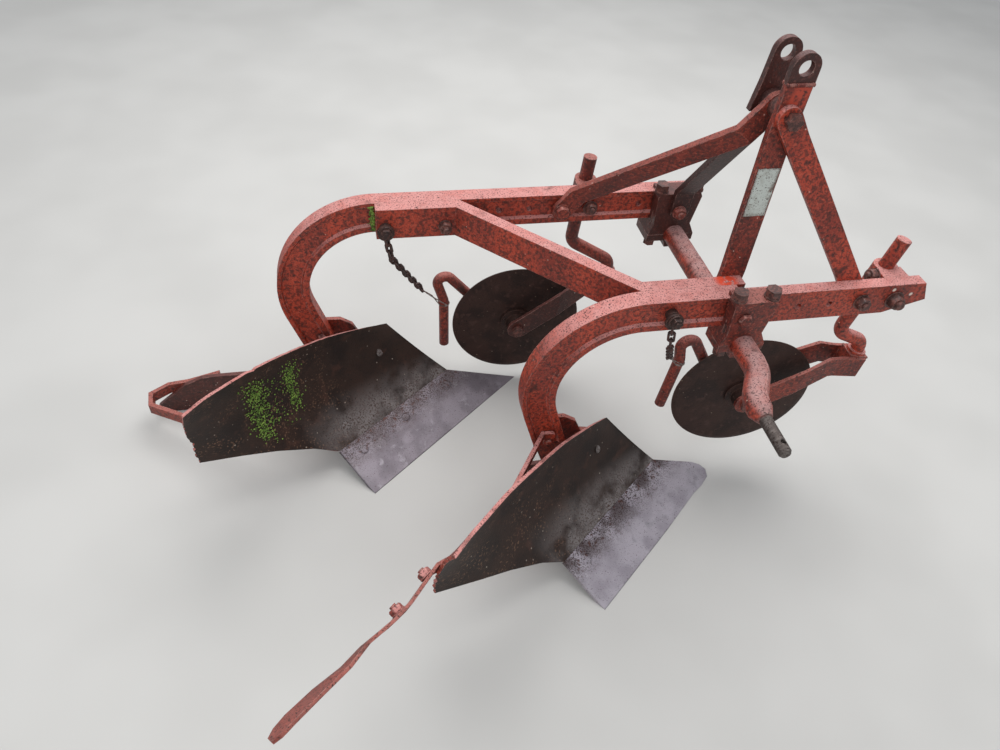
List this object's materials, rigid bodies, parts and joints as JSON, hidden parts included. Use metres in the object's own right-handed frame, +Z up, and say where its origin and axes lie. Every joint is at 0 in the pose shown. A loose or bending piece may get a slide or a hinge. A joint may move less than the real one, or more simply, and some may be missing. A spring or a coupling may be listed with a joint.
{
  "type": "moldboard plough",
  "caption": "Mounted moldboard plough with curved beams, a cranked cross shaft, a bolted mast and rolling coulters",
  "frame": {"origin": "middle of the plough's outline on the ground plane the shares stand on", "axes": "+X forwards to the tractor, +Y to the left, +Z up"},
  "size_m": [1.5653, 1.064, 0.981],
  "materials": {
    "red_paint": "weathered red paint",
    "dark_paint": "dirty dark red paint",
    "brown_rust": "dark brown rust",
    "bolt_steel": "rusty steel",
    "share_steel": "worn dull steel",
    "plate_metal": "worn"
  },
  "bodies": {
    "frame": {"right_beam": "red_paint", "left_beam": "red_paint", "diagonal_brace": "red_paint", "right_shaft_bracket": "red_paint", "left_shaft_bracket": "dark_paint", "right_shaft_cap": "red_paint", "left_shaft_cap": "dark_paint", "bracket_bolts": "bolt_steel", "cross_shaft": "red_paint", "mast_rear_leg": "red_paint", "mast_front_leg": "red_paint", "right_ear": "dark_paint", "left_ear_plate": "dark_paint", "mast_spacer": "bolt_steel", "mast_bolt": "bolt_steel", "long_brace": "dark_paint", "short_brace": "dark_paint", "blank_plate": "plate_metal", "front_frog": "dark_paint", "rear_frog": "dark_paint", "front_share": "share_steel", "rear_share": "share_steel", "front_moldboard": "brown_rust", "rear_moldboard": "brown_rust", "front_landside": "dark_paint", "rear_landside": "dark_paint", "front_stay": "red_paint", "rear_loop": "red_paint", "tail_extension": "red_paint", "front_clamp": "red_paint", "rear_clamp": "red_paint", "front_shank": "red_paint", "rear_shank": "red_paint", "front_chain": "bolt_steel", "rear_chain": "bolt_steel"},
    "front_fork": {"front_yoke": "red_paint", "front_axle": "bolt_steel", "front_weed_rod": "red_paint"},
    "rear_fork": {"rear_yoke": "dark_paint", "rear_axle": "bolt_steel", "rear_weed_rod": "red_paint"},
    "front_blade": {"front_disc": "brown_rust", "front_hub": "brown_rust"},
    "rear_blade": {"rear_disc": "brown_rust", "rear_hub": "brown_rust"}
  },
  "joints": [
    {"name": "front_coulter_swivel", "type": "hinge", "parent": "frame", "child": "front_fork", "pos_m": [0.75431, 0.0487, 0.32997], "axis": [0.1736, 0, 0.9848], "range_deg": [-12, 12]},
    {"name": "front_disc_spin", "type": "hinge", "parent": "front_fork", "child": "front_blade", "pos_m": [0.53545, 0.06777, 0.22945], "axis": [0.0944, 0.9954, -0.0166], "continuous": true},
    {"name": "rear_coulter_swivel", "type": "hinge", "parent": "frame", "child": "rear_fork", "pos_m": [0.30291, 0.4063, 0.31001], "axis": [0.0593, 0, 0.9982], "range_deg": [-12, 12]},
    {"name": "rear_disc_spin", "type": "hinge", "parent": "rear_fork", "child": "rear_blade", "pos_m": [0.09641, 0.41672, 0.18504], "axis": [0.0522, 0.9986, -0.0031], "continuous": true}
  ]
}
